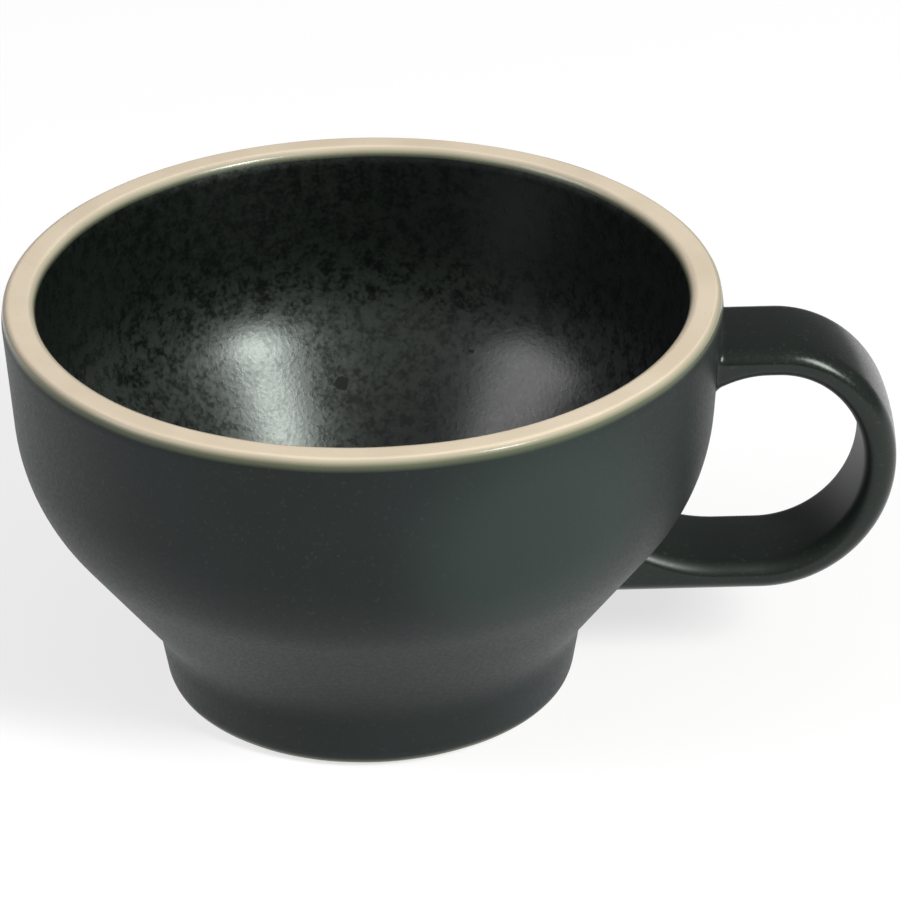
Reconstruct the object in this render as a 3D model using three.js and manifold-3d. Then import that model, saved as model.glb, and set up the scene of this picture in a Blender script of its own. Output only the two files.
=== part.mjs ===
// Stoneware espresso cup: a footed bowl with a strap handle, under a dark glaze that leaves the rim bare.
// Millimetres, +Z up. The origin is the middle of the foot on the surface that the cup stands on.
// The handle points along +X.
import * as THREE from "three";
import { mergeVertices } from "three/addons/utils/BufferGeometryUtils.js";
import Module from "manifold-3d";

// Bowl: the outside of the fired clay, as straight runs with rounded corners
const CUP_HEIGHT = 46;
const MOUTH_RADIUS = 37.7;
const BELLY_RADIUS = 36.3;
const BELLY_HEIGHT = 26.3;
const BELLY_BEND = 21;
const WAIST_RADIUS = 22.7;
const WAIST_HEIGHT = 8.1;
const WAIST_FILLET = 9;
const FOOT_RADIUS = 21.3;
const FOOT_EDGE = 1.8;

// Bowl: the inside, the rim and the hollow under the foot
const WALL = 2.9;
const FLOOR_THICKNESS = 5.5;
const FLOOR_BEND = 18;
const RIM_EDGE = 0.8;
const FOOT_RING_WIDTH = 5;
const RECESS_DEPTH = 2.5;
const RECESS_BEND = 1.5;
const RING_EDGE = 0.6;

// Handle: a strap on a D-shaped path from just under the rim back to the sloping underside
const STRAP_WIDTH = 11.5;
const STRAP_THICKNESS = 2.9;
const STRAP_CROWN = 0.27; // how far each face falls away from its middle to the strap's edges
const STRAP_EDGE = 1.4;
const STRAP_SIDE = 0.1; // least flat left between two rounded edges
const HANDLE_DROP = 7.3; // from the rim down to the middle of the upper run
const HANDLE_LOWER_RISE = 5; // from the waist up to the middle of the lower run
const HANDLE_PROJECTION = 17; // from the mouth's radius out to the middle of the strap
const HANDLE_SWELL_RISE = 0.6; // farthest point of the bow above the middle between the two runs
const UPPER_STRAIGHT = 6; // upper run beyond the mouth's radius before the bow starts
const LOWER_STRAIGHT = 4.3;
const UPPER_SWELL = 1.5; // extra clay under the upper run where it meets the wall
const UPPER_SWELL_LENGTH = 5.5;
const LOWER_SWELL = 2.2; // extra clay on top of the lower run where it meets the slope
const LOWER_SWELL_LENGTH = 8.5;

// Joint slip, glaze and the gaps between pieces that are bonded in the kiln
const SLIP = 0.5;
const GLAZE = 0.4;
const GLAZE_EDGE = 0.1; // where a coat has thinned out
const GLAZE_FADE = 2.5; // length over which it thins
const FADE_STEPS = 2;
const RIM_BARE = 0.7; // bare clay below the top of the rim, outside and inside
const FOOT_BARE = 0.25; // bare clay above the standing face, outside and in the recess
const BOND_GAP = 0.05;
const SEAT_GAP = 0.1;
const CUT_GAP = 0.3;

// Facets
const TURN_SEGMENTS = 48;
const CHORD_ERROR = 0.06; // largest distance from an arc to its chords
const STRAP_STEPS = 44;
const EDGE_STEPS = 3;
const FACE_STEPS = 4;
const QUARTER_CIRCLE = 0.5523; // control length of a Bezier quarter circle

const wasm = await Module();
wasm.setup();

const point = (x, y) => new THREE.Vector2(x, y);

// Turns a run of corners [radius, height, bend] into points, with each bend as an arc tangent to both sides.
function roundedOutline(corners) {
  const outline = [];
  corners.forEach(([radius, height, bend], i) => {
    const corner = point(radius, height);
    if (!bend) {
      outline.push(corner);
      return;
    }
    const back = point(...corners[i - 1]).sub(corner).normalize();
    const ahead = point(...corners[i + 1]).sub(corner).normalize();
    const half = Math.acos(back.dot(ahead)) / 2;
    const bisector = back.clone().add(ahead).normalize();
    const centre = corner.clone().addScaledVector(bisector, bend / Math.sin(half));
    const start = back.multiplyScalar(bend / Math.tan(half)).add(corner).sub(centre);
    const end = ahead.multiplyScalar(bend / Math.tan(half)).add(corner).sub(centre);
    const turn = Math.atan2(start.cross(end), start.dot(end));
    const steps = Math.ceil(Math.abs(turn) / (2 * Math.acos(1 - CHORD_ERROR / bend)));
    for (let k = 0; k <= steps; k++) {
      outline.push(start.clone().rotateAround(point(0, 0), (turn * k) / steps).add(centre));
    }
  });
  return outline;
}

// The corner that is left when both straight runs at it move to the right of travel by a distance.
function movedCorner(before, corner, after, distance) {
  const right = (a, b) => point(b[1] - a[1], a[0] - b[0]).normalize();
  const first = right(before, corner);
  const bisector = first.clone().add(right(corner, after)).normalize();
  const moved = point(...corner).addScaledVector(bisector, distance / bisector.dot(first));
  return [moved.x, moved.y];
}

// The stretch of an outline between two heights, cut exactly at both.
function between(outline, lowest, highest) {
  const inside = (p) => p.y >= lowest && p.y <= highest;
  const stretch = [];
  outline.forEach((here, i) => {
    const next = outline[i + 1];
    if (inside(here)) stretch.push(here);
    if (next && inside(here) !== inside(next)) {
      const level = Math.max(here.y, next.y) > highest ? highest : lowest;
      stretch.push(here.clone().lerp(next, (level - here.y) / (next.y - here.y)));
    }
  });
  return stretch;
}

// An outline moved to the right of travel, which is away from the clay, by a distance for each point.
function offset(outline, distanceAt) {
  return outline.map((here, i) => {
    const before = outline[Math.max(i - 1, 0)];
    const after = outline[Math.min(i + 1, outline.length - 1)];
    const right = point(0, 0);
    for (const [a, b] of [[before, here], [here, after]]) {
      right.add(point(b.y - a.y, a.x - b.x).normalize());
    }
    return here.clone().addScaledVector(right.normalize(), distanceAt(i));
  });
}

// A profile of radius and height turned about the vertical axis.
function turned(profile) {
  return new THREE.LatheGeometry(profile, TURN_SEGMENTS).rotateX(Math.PI / 2);
}

const floorHeight = RECESS_DEPTH + FLOOR_THICKNESS;

// The bowl's corners, from the middle of the underside round the foot, wall and rim to the middle of the floor
const recessRadius = FOOT_RADIUS - FOOT_RING_WIDTH;
const undersideCorners = [
  [0, RECESS_DEPTH],
  [recessRadius, RECESS_DEPTH, RECESS_BEND],
  [recessRadius, 0, RING_EDGE],
];
const outsideCorners = [
  [FOOT_RADIUS, 0, FOOT_EDGE],
  [WAIST_RADIUS, WAIST_HEIGHT, WAIST_FILLET],
  [BELLY_RADIUS, BELLY_HEIGHT, BELLY_BEND],
  [MOUTH_RADIUS, CUP_HEIGHT, RIM_EDGE],
];
const mouthInside = [MOUTH_RADIUS - WALL, CUP_HEIGHT, RIM_EDGE];

// The inside keeps the wall's thickness behind the upright wall and the slope, down to a level floor.
function insideCorners() {
  const [, waist, belly, mouth] = outsideCorners;
  const innerBelly = movedCorner(waist, belly, mouth, -WALL);
  const rise = (belly[1] - waist[1]) / (belly[0] - waist[0]);
  const floorRadius = innerBelly[0] - (innerBelly[1] - floorHeight) / rise;
  return [
    mouthInside,
    [...innerBelly, BELLY_BEND - WALL],
    [floorRadius, floorHeight, FLOOR_BEND],
    [0, floorHeight],
  ];
}

const bowlCorners = [...undersideCorners, ...outsideCorners, ...insideCorners()];
const bowlOutline = roundedOutline(bowlCorners);
const undersideOutline = roundedOutline([...undersideCorners, outsideCorners[0].slice(0, 2)]);
const outsideOutline = roundedOutline([[recessRadius, 0], ...outsideCorners, mouthInside.slice(0, 2)]);
const insideOutline = roundedOutline([outsideCorners.at(-1).slice(0, 2), ...insideCorners()]);

// How far along an outline each of its points lies.
function distancesAlong(outline) {
  const along = [0];
  outline.slice(1).forEach((here, i) => along.push(along[i] + here.distanceTo(outline[i])));
  return along;
}

// Adds a point to an outline at a distance along it.
function withPointAt(outline, distance) {
  const along = distancesAlong(outline);
  const after = along.findIndex((reached) => reached > distance);
  const share = (distance - along[after - 1]) / (along[after] - along[after - 1]);
  const added = outline[after - 1].clone().lerp(outline[after], share);
  return outline.toSpliced(after, 0, added);
}

// A glaze coat over a stretch of clay, thinning towards each edge that is not on the axis.
function glazeCoat(bare) {
  const startsOnAxis = bare[0].x === 0;
  const endsOnAxis = bare.at(-1).x === 0;
  const length = distancesAlong(bare).at(-1);
  let stretch = bare;
  for (let step = 1; step <= FADE_STEPS; step++) {
    const distance = (GLAZE_FADE * step) / FADE_STEPS;
    if (!startsOnAxis) stretch = withPointAt(stretch, distance);
    if (!endsOnAxis) stretch = withPointAt(stretch, length - distance);
  }
  const along = distancesAlong(stretch);
  const fade = (distance) => Math.sin(Math.min(distance / GLAZE_FADE, 1) * (Math.PI / 2));
  const thickness = (i) => {
    const fromStart = startsOnAxis ? 1 : fade(along[i]);
    const fromEnd = endsOnAxis ? 1 : fade(length - along[i]);
    return GLAZE_EDGE + (GLAZE - GLAZE_EDGE) * Math.min(fromStart, fromEnd);
  };
  const over = offset(stretch, (i) => BOND_GAP + thickness(i));
  const under = offset(stretch, () => BOND_GAP).reverse();
  if (startsOnAxis) return turned([...over, ...under]);
  return turned(endsOnAxis ? [...under, ...over] : [...under, ...over, under[0]]);
}

// The whole cup without its hollow, grown by a distance: what trims the handle to the wall's curve.
function bowlCore(distance) {
  const side = between(outsideOutline, FOOT_EDGE, CUP_HEIGHT - RIM_EDGE);
  const grown = offset(side, () => distance);
  return solid(turned([point(0, grown[0].y), ...grown, point(0, grown.at(-1).y)]));
}

// Radius of the clay's outside at a height.
function outsideRadius(height) {
  return between(outsideOutline, height, CUP_HEIGHT)[0].x;
}

const upperRun = CUP_HEIGHT - HANDLE_DROP;
const lowerRun = WAIST_HEIGHT + HANDLE_LOWER_RISE;

// Middle line of the strap in the plane of the handle: a straight root, two quarter bows and a straight root.
// Both roots run on into the bowl by the strap's width, past where the wall curves away across it.
function strapPath() {
  const at = (x, z) => new THREE.Vector3(x, 0, z);
  const top = at(MOUTH_RADIUS + UPPER_STRAIGHT, upperRun);
  const far = at(MOUTH_RADIUS + HANDLE_PROJECTION, (upperRun + lowerRun) / 2 + HANDLE_SWELL_RISE);
  const low = at(MOUTH_RADIUS + LOWER_STRAIGHT, lowerRun);
  const bow = (level, farEnd) => [
    at(level.x + (farEnd.x - level.x) * QUARTER_CIRCLE, level.z),
    at(farEnd.x, farEnd.z + (level.z - farEnd.z) * QUARTER_CIRCLE),
  ];
  const path = new THREE.CurvePath();
  path.add(new THREE.LineCurve3(at(outsideRadius(upperRun) - STRAP_WIDTH, upperRun), top));
  path.add(new THREE.CubicBezierCurve3(top, ...bow(top, far), far));
  path.add(new THREE.CubicBezierCurve3(far, ...bow(low, far).reverse(), low));
  path.add(new THREE.LineCurve3(low, at(outsideRadius(lowerRun) - STRAP_WIDTH, lowerRun)));
  return path;
}

// The strap's section, grown on every side by a distance: x is across the strap and y is its depth.
// It is a rounded rectangle whose faces fall away from their middle to both edges.
function strapSection(growth) {
  const edge = Math.min(STRAP_EDGE, (STRAP_THICKNESS - STRAP_SIDE) / 2);
  const corner = point(STRAP_WIDTH / 2 - edge, STRAP_THICKNESS / 2 - edge);
  const outline = [];
  for (let quarter = 0; quarter < 4; quarter++) {
    const wide = quarter === 0 || quarter === 3 ? 1 : -1;
    const outer = quarter < 2 ? 1 : -1;
    for (let k = 0; k <= EDGE_STEPS; k++) {
      const angle = (quarter + k / EDGE_STEPS) * (Math.PI / 2);
      const bend = point(Math.cos(angle), Math.sin(angle)).multiplyScalar(edge + growth);
      outline.push(bend.add(point(wide * corner.x, outer * corner.y)));
    }
    const isFace = quarter % 2 === 0;
    for (let k = 1; isFace && k < FACE_STEPS; k++) {
      const across = wide * corner.x * (1 - (2 * k) / FACE_STEPS);
      outline.push(point(across, outer * (STRAP_THICKNESS / 2 + growth)));
    }
  }
  const fall = STRAP_CROWN / (STRAP_THICKNESS / 2);
  const crowned = (p) => point(p.x, p.y * (1 - fall * (p.x / (STRAP_WIDTH / 2 + growth)) ** 2));
  return outline.map(crowned);
}

// How much thicker the strap is on its inner side, which faces the finger, at a place along one of its roots.
// The swell fades with the square of the distance from where the swollen root meets the bowl.
function rootSwell(x, isUpper) {
  const swell = isUpper ? UPPER_SWELL : LOWER_SWELL;
  const length = isUpper ? UPPER_SWELL_LENGTH : LOWER_SWELL_LENGTH;
  const meeting = isUpper ? upperRun : lowerRun + STRAP_THICKNESS / 2 + LOWER_SWELL;
  const fromWall = Math.max(x - outsideRadius(meeting), 0);
  return swell * Math.max(1 - fromWall / length, 0) ** 2;
}

// Rings of that section along the strap's path, with a swell at each root.
function strapRings(growth) {
  const path = strapPath();
  const section = strapSection(growth);
  const rings = [];
  for (let step = 0; step <= STRAP_STEPS; step++) {
    const middle = path.getPointAt(step / STRAP_STEPS);
    const along = path.getTangentAt(step / STRAP_STEPS);
    const outward = new THREE.Vector3(-along.z, 0, along.x);
    const swell = rootSwell(middle.x, step < STRAP_STEPS / 2);
    const ring = section.map((p) => {
      const lift = p.y > 0 ? p.y : p.y - swell;
      return middle.clone().addScaledVector(outward, lift).setY(p.x);
    });
    rings.push(ring);
  }
  return rings;
}

// A closed skin over rings that all have the same number of points.
function loft(rings) {
  const around = rings[0].length;
  const last = (rings.length - 1) * around;
  const faces = [];
  for (let i = 0; i < last; i += around) {
    for (let j = 0; j < around; j++) {
      const next = (j + 1) % around;
      faces.push(i + j, i + next, i + around + j);
      faces.push(i + next, i + around + next, i + around + j);
    }
  }
  for (let j = 1; j < around - 1; j++) {
    faces.push(0, j + 1, j);
    faces.push(last, last + j, last + j + 1);
  }
  return new THREE.BufferGeometry().setFromPoints(rings.flat()).setIndex(faces);
}

// A closed geometry as a solid that can be cut and joined.
function solid(geometry) {
  geometry.deleteAttribute("normal");
  geometry.deleteAttribute("uv");
  const merged = mergeVertices(geometry);
  const vertProperties = merged.attributes.position.array;
  const triVerts = new Uint32Array(merged.index.array);
  return new wasm.Manifold(new wasm.Mesh({ numProp: 3, vertProperties, triVerts }));
}

function geometryOf(cut) {
  const { vertProperties, triVerts } = cut.getMesh();
  const geometry = new THREE.BufferGeometry();
  geometry.setAttribute("position", new THREE.BufferAttribute(vertProperties, 3));
  geometry.setIndex(new THREE.BufferAttribute(triVerts, 1));
  geometry.computeVertexNormals();
  return geometry;
}

function clayBowl() {
  return turned(bowlOutline);
}

function insideGlaze() {
  return glazeCoat(between(insideOutline, 0, CUP_HEIGHT - RIM_BARE));
}

function undersideGlaze() {
  return glazeCoat(between(undersideOutline, FOOT_BARE, CUP_HEIGHT));
}

// The outside coat has an opening at each end of the handle, where clay meets clay.
function outsideGlaze() {
  const coat = glazeCoat(between(outsideOutline, FOOT_BARE, CUP_HEIGHT - RIM_BARE));
  return geometryOf(solid(coat).subtract(solid(loft(strapRings(CUT_GAP)))));
}

// The strap ends on the slip, whose thickness it stands off the bowl.
function clayHandle() {
  return geometryOf(solid(loft(strapRings(0))).subtract(bowlCore(SEAT_GAP + SLIP + CUT_GAP)));
}

// A pad of slip fills the seat between the strap's end and the bowl, over the given rings of the strap.
function jointSlip(rings) {
  const pad = solid(loft(rings)).intersect(bowlCore(SEAT_GAP + SLIP));
  return geometryOf(pad.subtract(bowlCore(SEAT_GAP)));
}

// The handle's own coat is a sleeve that stops short of the coat on the bowl.
function handleGlaze() {
  const sleeve = solid(loft(strapRings(BOND_GAP + GLAZE)));
  const trimmed = sleeve.subtract(bowlCore(BOND_GAP + GLAZE + CUT_GAP));
  return geometryOf(trimmed.subtract(solid(loft(strapRings(BOND_GAP)))));
}

const strap = strapRings(0);
const halfway = Math.ceil(strap.length / 2);
const clay = { color: 0xdaccb4, roughness: 0.75, metalness: 0 };
const glaze = { color: 0x2d322f, roughness: 0.4, metalness: 0 };
const slip = { color: 0xcbbb9f, roughness: 0.85, metalness: 0 };
const pieces = {
  clay_bowl: [clayBowl(), clay],
  clay_handle: [clayHandle(), clay],
  upper_joint_slip: [jointSlip(strap.slice(0, halfway)), slip],
  lower_joint_slip: [jointSlip(strap.slice(halfway)), slip],
  inside_glaze: [insideGlaze(), glaze],
  outside_glaze: [outsideGlaze(), glaze],
  handle_glaze: [handleGlaze(), glaze],
  underside_glaze: [undersideGlaze(), glaze],
};

const cup = new THREE.Group();
for (const [name, [geometry, finish]] of Object.entries(pieces)) {
  const mesh = new THREE.Mesh(geometry, new THREE.MeshStandardMaterial(finish));
  mesh.name = name;
  cup.add(mesh);
}

export default cup;
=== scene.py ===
"""Stoneware espresso cup: a footed bowl and a strap handle under a dark glaze that leaves the rim bare.

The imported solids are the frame. Each visible surface is worked out here as a fine mesh on the same sizes:
the bowl and its coats are outlines turned about the vertical axis, and the handle is a rounded strap
carried along a D-shaped path. Lengths are in metres, +Z is up, and the handle points along +X.
"""
import math

import bpy
import numpy as np
from mathutils import Matrix, Vector


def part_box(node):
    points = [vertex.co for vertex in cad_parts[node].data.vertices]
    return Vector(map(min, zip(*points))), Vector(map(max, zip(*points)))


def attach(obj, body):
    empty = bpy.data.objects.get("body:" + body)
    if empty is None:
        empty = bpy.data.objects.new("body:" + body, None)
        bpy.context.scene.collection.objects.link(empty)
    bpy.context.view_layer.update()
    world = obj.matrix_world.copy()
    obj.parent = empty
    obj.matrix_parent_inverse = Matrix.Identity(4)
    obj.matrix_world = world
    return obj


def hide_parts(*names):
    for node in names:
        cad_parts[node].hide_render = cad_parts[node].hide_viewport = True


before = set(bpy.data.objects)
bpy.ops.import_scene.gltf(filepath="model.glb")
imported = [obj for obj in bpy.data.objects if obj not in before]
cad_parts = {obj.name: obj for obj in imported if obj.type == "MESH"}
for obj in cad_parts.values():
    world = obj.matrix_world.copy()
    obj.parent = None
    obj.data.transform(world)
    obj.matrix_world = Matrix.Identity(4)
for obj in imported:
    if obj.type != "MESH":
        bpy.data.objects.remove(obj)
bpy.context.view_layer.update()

bl_info = {
    "name": "Stoneware Espresso Cup",
    "version": (1, 0, 0),
    "blender": (4, 5, 0),
    "location": "View3D > Sidebar > Cup",
    "description": "Builds a glazed espresso cup with a bare rim around its solids",
    "category": "Add Mesh",
}

MM = 0.001
BODY = "root"
CUP_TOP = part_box("clay_bowl")[1].z

# Fineness of the meshes
TURN_COLUMNS = 288
ARC_STEP = math.radians(3)
OUTLINE_STEP = 1.0 * MM
COAT_ROWS = 150
BOW_ROWS = 64
ROOT_ROWS = 26
STRAP_EDGE_COLUMNS = 12
STRAP_FACE_COLUMNS = 14
STRAP_SIDE_COLUMNS = 4
ROOT_PASSES = 4
ROOT_SPACING = 1.8  # more than 1 sets the rings of a root closer together towards the wall
FILLET_SHARE = 0.75
QUARTER_CIRCLE = 0.5523  # control length of a Bezier quarter circle


# Settings that a user would change


def length(name, description, default):
    """A length in metres."""
    return bpy.props.FloatProperty(
        name=name, description=description, default=default, unit="LENGTH", subtype="DISTANCE", precision=5
    )


def angle(name, description, degrees):
    """An angle, given in degrees and kept in radians."""
    return bpy.props.FloatProperty(
        name=name, description=description, default=math.radians(degrees), subtype="ANGLE"
    )


def share(name, description, default):
    """A number from 0 to 1."""
    return bpy.props.FloatProperty(
        name=name, description=description, default=default, min=0.0, max=1.0, subtype="FACTOR"
    )


def colour(name, description, default):
    """A linear colour."""
    return bpy.props.FloatVectorProperty(
        name=name, description=description, default=default, size=3, min=0.0, max=1.0, subtype="COLOR"
    )


class BowlSizes(bpy.types.PropertyGroup):
    """The clay bowl: straight runs with rounded corners, turned about the vertical axis."""

    height: length("Height", "From the standing surface to the top of the rim", CUP_TOP)
    mouth_radius: length("Mouth radius", "Outside radius of the clay at the rim", 37.7 * MM)
    belly_radius: length("Belly radius", "Outside radius where the slope turns into the wall", 36.3 * MM)
    belly_height: length("Belly height", "Height of that turn", 26.3 * MM)
    belly_bend: length("Belly bend", "Radius of that turn", 21.0 * MM)
    waist_radius: length("Waist radius", "Outside radius where the foot turns into the slope", 22.7 * MM)
    waist_height: length("Waist height", "Height of the waist", 8.1 * MM)
    waist_fillet: length("Waist fillet", "Radius of the hollow at the waist", 9.0 * MM)
    foot_radius: length("Foot radius", "Outside radius of the foot", 21.3 * MM)
    foot_edge: length("Foot edge", "Rounding of the foot's outer edge", 1.8 * MM)
    wall: length("Wall", "Thickness of the clay wall", 2.9 * MM)
    floor_thickness: length("Floor", "Clay between the recess and the floor of the bowl", 5.5 * MM)
    floor_bend: length("Floor bend", "Radius between the slope and the floor inside", 18.0 * MM)
    rim_edge: length("Rim edge", "Rounding of the rim's outer edge", 0.6 * MM)
    lip_edge: length("Lip edge", "Rounding of the rim's inner edge", 0.7 * MM)
    ring_width: length("Foot ring width", "Width of the foot ring", 5.0 * MM)
    recess_depth: length("Recess depth", "Depth of the hollow under the foot", 2.5 * MM)
    recess_bend: length("Recess bend", "Radius in the recess's corner", 1.5 * MM)
    ring_edge: length("Ring edge", "Rounding of the foot ring's inner edge", 0.6 * MM)
    unevenness: length("Unevenness", "How far the thrown wall wanders from round", 0.05 * MM)


class HandleSizes(bpy.types.PropertyGroup):
    """The strap handle: its clay section, its path and its roots on the bowl."""

    width: length("Strap width", "Width of the clay strap", 11.5 * MM)
    thickness: length("Strap thickness", "Thickness of the clay strap", 2.9 * MM)
    crown: length("Strap crown", "How far each face falls away from its middle to the edges", 0.27 * MM)
    edge: length("Strap edge", "Rounding of the strap's long edges", 1.4 * MM)
    drop: length("Drop", "From the rim down to the middle of the upper run", 7.3 * MM)
    lower_rise: length("Lower rise", "From the waist up to the middle of the lower run", 5.0 * MM)
    projection: length("Projection", "From the mouth's radius out to the middle of the strap", 17.0 * MM)
    swell_rise: length("Swell rise", "Farthest point above the middle between the two runs", 0.6 * MM)
    upper_straight: length("Upper straight", "Upper run beyond the mouth's radius before the bow", 6.0 * MM)
    lower_straight: length("Lower straight", "Lower run beyond the mouth's radius before the bow", 4.3 * MM)
    upper_swell: length("Upper swell", "Extra clay under the upper run at the wall", 1.5 * MM)
    upper_swell_length: length("Upper swell length", "Length over which that swell fades", 5.5 * MM)
    lower_swell: length("Lower swell", "Extra clay on top of the lower run at the slope", 2.2 * MM)
    lower_swell_length: length("Lower swell length", "Length over which that swell fades", 8.5 * MM)
    root_fillet: length("Root fillet", "Rounding between the strap's coat and the wall", 0.7 * MM)


class GlazeSettings(bpy.types.PropertyGroup):
    """The glaze coats: thickness, where they stop, and their finish."""

    thickness: length("Thickness", "Thickness of a full coat", 0.4 * MM)
    edge_thickness: length("Edge thickness", "Thickness of a coat near its free edge", 0.06 * MM)
    fade: length("Fade", "Distance over which a coat thins out towards its edge", 2.2 * MM)
    bond_gap: length("Bond gap", "Gap between the clay and the coat", 0.05 * MM)
    rim_bare: length("Rim bare", "Bare clay below the top of the rim outside", 0.03 * MM)
    lip_bare: length("Lip bare", "Bare clay below the top of the rim inside", 0.03 * MM)
    foot_bare: length("Foot bare", "Bare clay above the standing face", 0.3 * MM)
    wander: length("Wander", "How far the glaze line wanders up and down", 0.05 * MM)
    outside_colour: colour("Outside colour", "The thick glaze outside", (0.0138, 0.0184, 0.0170))
    outside_tint: colour("Outside tint", "Its lighter clouds", (0.0162, 0.0208, 0.0212))
    # Painted sheen: a lighter, greener patch on the front-right flank that stands in for the key light's
    # broad reflection
    painted_sheen_colour: colour(
        "Flush colour", "The greener glaze on the flank that faced the heat", (0.028, 0.040, 0.036)
    )
    handle_colour: colour("Handle colour", "The thick glaze on the strap", (0.0072, 0.0103, 0.0087))
    inside_colour: colour("Inside colour", "The thick glaze inside", (0.0026, 0.0040, 0.0032))
    # lighter blotches, strongest towards the bottom of the bowl and faint above
    inside_tint: colour("Inside tint", "The greyer blotches where it pooled", (0.0165, 0.0208, 0.0175))
    sheen_tint: colour("Sheen tint", "Colour of what the glaze mirrors", (0.91, 1.0, 0.95))
    thin_colour: colour("Thin colour", "The glaze where it thins to olive", (0.135, 0.152, 0.094))
    # Partly the thin film's own colour, partly painted shade: darkened to even out the brighter light on
    # the rim's rounded edges
    edge_film_shaded_colour: colour("Edge colour", "The last film of glaze over the clay", (0.551, 0.483, 0.366))
    outside_roughness: share("Outside roughness", "Satin outside", 0.46)
    handle_roughness: share("Handle roughness", "Glossier where the glaze ran thick over the strap", 0.23)
    finger_roughness: share("Finger side roughness", "Duller on the strap's inner side", 0.50)
    inside_roughness: share("Inside roughness", "Satin inside", 0.30)
    edge_roughness: share("Edge roughness", "Gloss of the thin film at the outside's edges", 0.18)
    lip_roughness: share("Lip roughness", "Gloss of the thin film at the inside's edge", 0.25)


class ClaySettings(bpy.types.PropertyGroup):
    """The bare stoneware and the slip in the joints."""

    colour: colour("Clay", "Fired stoneware, bare at the rim and under the foot", (0.632, 0.552, 0.420))
    shade: colour("Clay shade", "Its slightly darker, warmer patches", (0.586, 0.502, 0.377))
    slip_colour: colour("Slip", "Dried slip in the handle's joints", (0.60, 0.50, 0.35))
    roughness: share("Clay roughness", "Dry and fine grained", 0.80)


class StageSettings(bpy.types.PropertyGroup):
    """Camera, lights and floor."""

    camera_distance: length("Camera distance", "From the middle of the cup", 600.0 * MM)
    camera_aim: length("Camera aim", "Height of the point that the camera is set out from", 22.94 * MM)
    camera_elevation: angle("Camera elevation", "Above the horizon", 28.80)
    camera_yaw: angle("Camera yaw", "Turn to the right", 0.86)
    camera_pitch: angle("Camera pitch", "Turn upwards", 0.291)
    camera_roll: angle("Camera roll", "Turn about the line of sight", -1.403)
    focal_length: bpy.props.FloatProperty(
        name="Focal length", description="On a 36 mm sensor", default=223.6, unit="CAMERA"
    )
    floor_colour: colour("Floor", "Pale matt floor and backdrop", (0.34, 0.34, 0.34))
    floor_glow: share("Floor glow", "What the camera sees added to the floor's own light", 0.67)
    front_sky: share("Front sky", "Soft light from above the camera's side", 0.40)
    back_sky: share("Back sky", "Soft light from behind the cup", 0.17)
    key_power: bpy.props.FloatProperty(name="Key", description="Main softbox", default=3.6, unit="POWER")
    core_power: bpy.props.FloatProperty(
        name="Key core", description="Bright middle of the main softbox", default=4.9, unit="POWER"
    )
    fill_power: bpy.props.FloatProperty(name="Fill", description="Side softbox", default=3.8, unit="POWER")


class CupSettings(bpy.types.PropertyGroup):
    """All the settings of the cup."""

    bowl: bpy.props.PointerProperty(type=BowlSizes, name="Bowl")
    handle: bpy.props.PointerProperty(type=HandleSizes, name="Handle")
    glaze: bpy.props.PointerProperty(type=GlazeSettings, name="Glaze")
    clay: bpy.props.PointerProperty(type=ClaySettings, name="Clay")
    stage: bpy.props.PointerProperty(type=StageSettings, name="Stage")


# Outlines of radius and height


def rounded_outline(corners):
    """Points along straight runs between corners of radius, height and bend.

    Each bend is an arc tangent to both of its runs.
    """
    parts = []
    for i, (radius, height, bend) in enumerate(corners):
        corner = np.array([radius, height])
        if not bend:
            parts.append(corner[None])
            continue
        back = np.array(corners[i - 1][:2]) - corner
        ahead = np.array(corners[i + 1][:2]) - corner
        back /= np.linalg.norm(back)
        ahead /= np.linalg.norm(ahead)
        half = math.acos(back @ ahead) / 2
        bisector = (back + ahead) / np.linalg.norm(back + ahead)
        centre = corner + bisector * bend / math.sin(half)
        start = corner + back * bend / math.tan(half) - centre
        end = corner + ahead * bend / math.tan(half) - centre
        turn = math.atan2(start[0] * end[1] - start[1] * end[0], start @ end)
        swing = np.linspace(0, turn, math.ceil(abs(turn) / ARC_STEP) + 1)[:, None]
        across = np.array([-start[1], start[0]])
        parts.append(centre + start * np.cos(swing) + across * np.sin(swing))
    return np.concatenate(parts)


def distances_along(outline):
    """Distance along an outline at each of its points."""
    steps = np.linalg.norm(np.diff(outline, axis=0), axis=1)
    return np.concatenate([[0.0], np.cumsum(steps)])


def spaced(outline, longest):
    """The same outline with each run cut into equal pieces no longer than a given length."""
    steps = np.linalg.norm(np.diff(outline, axis=0), axis=1)
    cuts = np.maximum(np.ceil(steps / longest).astype(int), 1)
    run = np.repeat(np.arange(len(cuts)), cuts)
    step = np.arange(len(run)) - np.repeat(np.cumsum(cuts) - cuts, cuts)
    place = np.append(run + step / cuts[run], len(cuts))
    points = np.arange(len(outline))
    return np.stack([np.interp(place, points, outline[:, k]) for k in range(2)], axis=1)


def outward_normals(outline):
    """Unit normals to the right of travel, which is away from the clay."""
    ahead = np.diff(outline, axis=0)
    ahead /= np.linalg.norm(ahead, axis=1)[:, None]
    mean = np.concatenate([ahead[:1], ahead[:-1] + ahead[1:], ahead[-1:]])
    right = np.stack([mean[:, 1], -mean[:, 0]], axis=1)
    return right / np.linalg.norm(right, axis=1)[:, None]


def moved_corner(before, corner, after, distance):
    """The corner left when both straight runs at it move to the right of travel by a distance."""
    before, corner, after = (np.array(p[:2]) for p in (before, corner, after))
    first, second = corner - before, after - corner
    first = np.array([first[1], -first[0]]) / np.linalg.norm(first)
    second = np.array([second[1], -second[0]]) / np.linalg.norm(second)
    bisector = (first + second) / np.linalg.norm(first + second)
    return corner + bisector * distance / (bisector @ first)


def underside_corners(bowl):
    """Corners from the middle of the recess out to the foot ring."""
    recess = bowl.foot_radius - bowl.ring_width
    return [
        (0.0, bowl.recess_depth, 0.0),
        (recess, bowl.recess_depth, bowl.recess_bend),
        (recess, 0.0, bowl.ring_edge),
    ]


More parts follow.
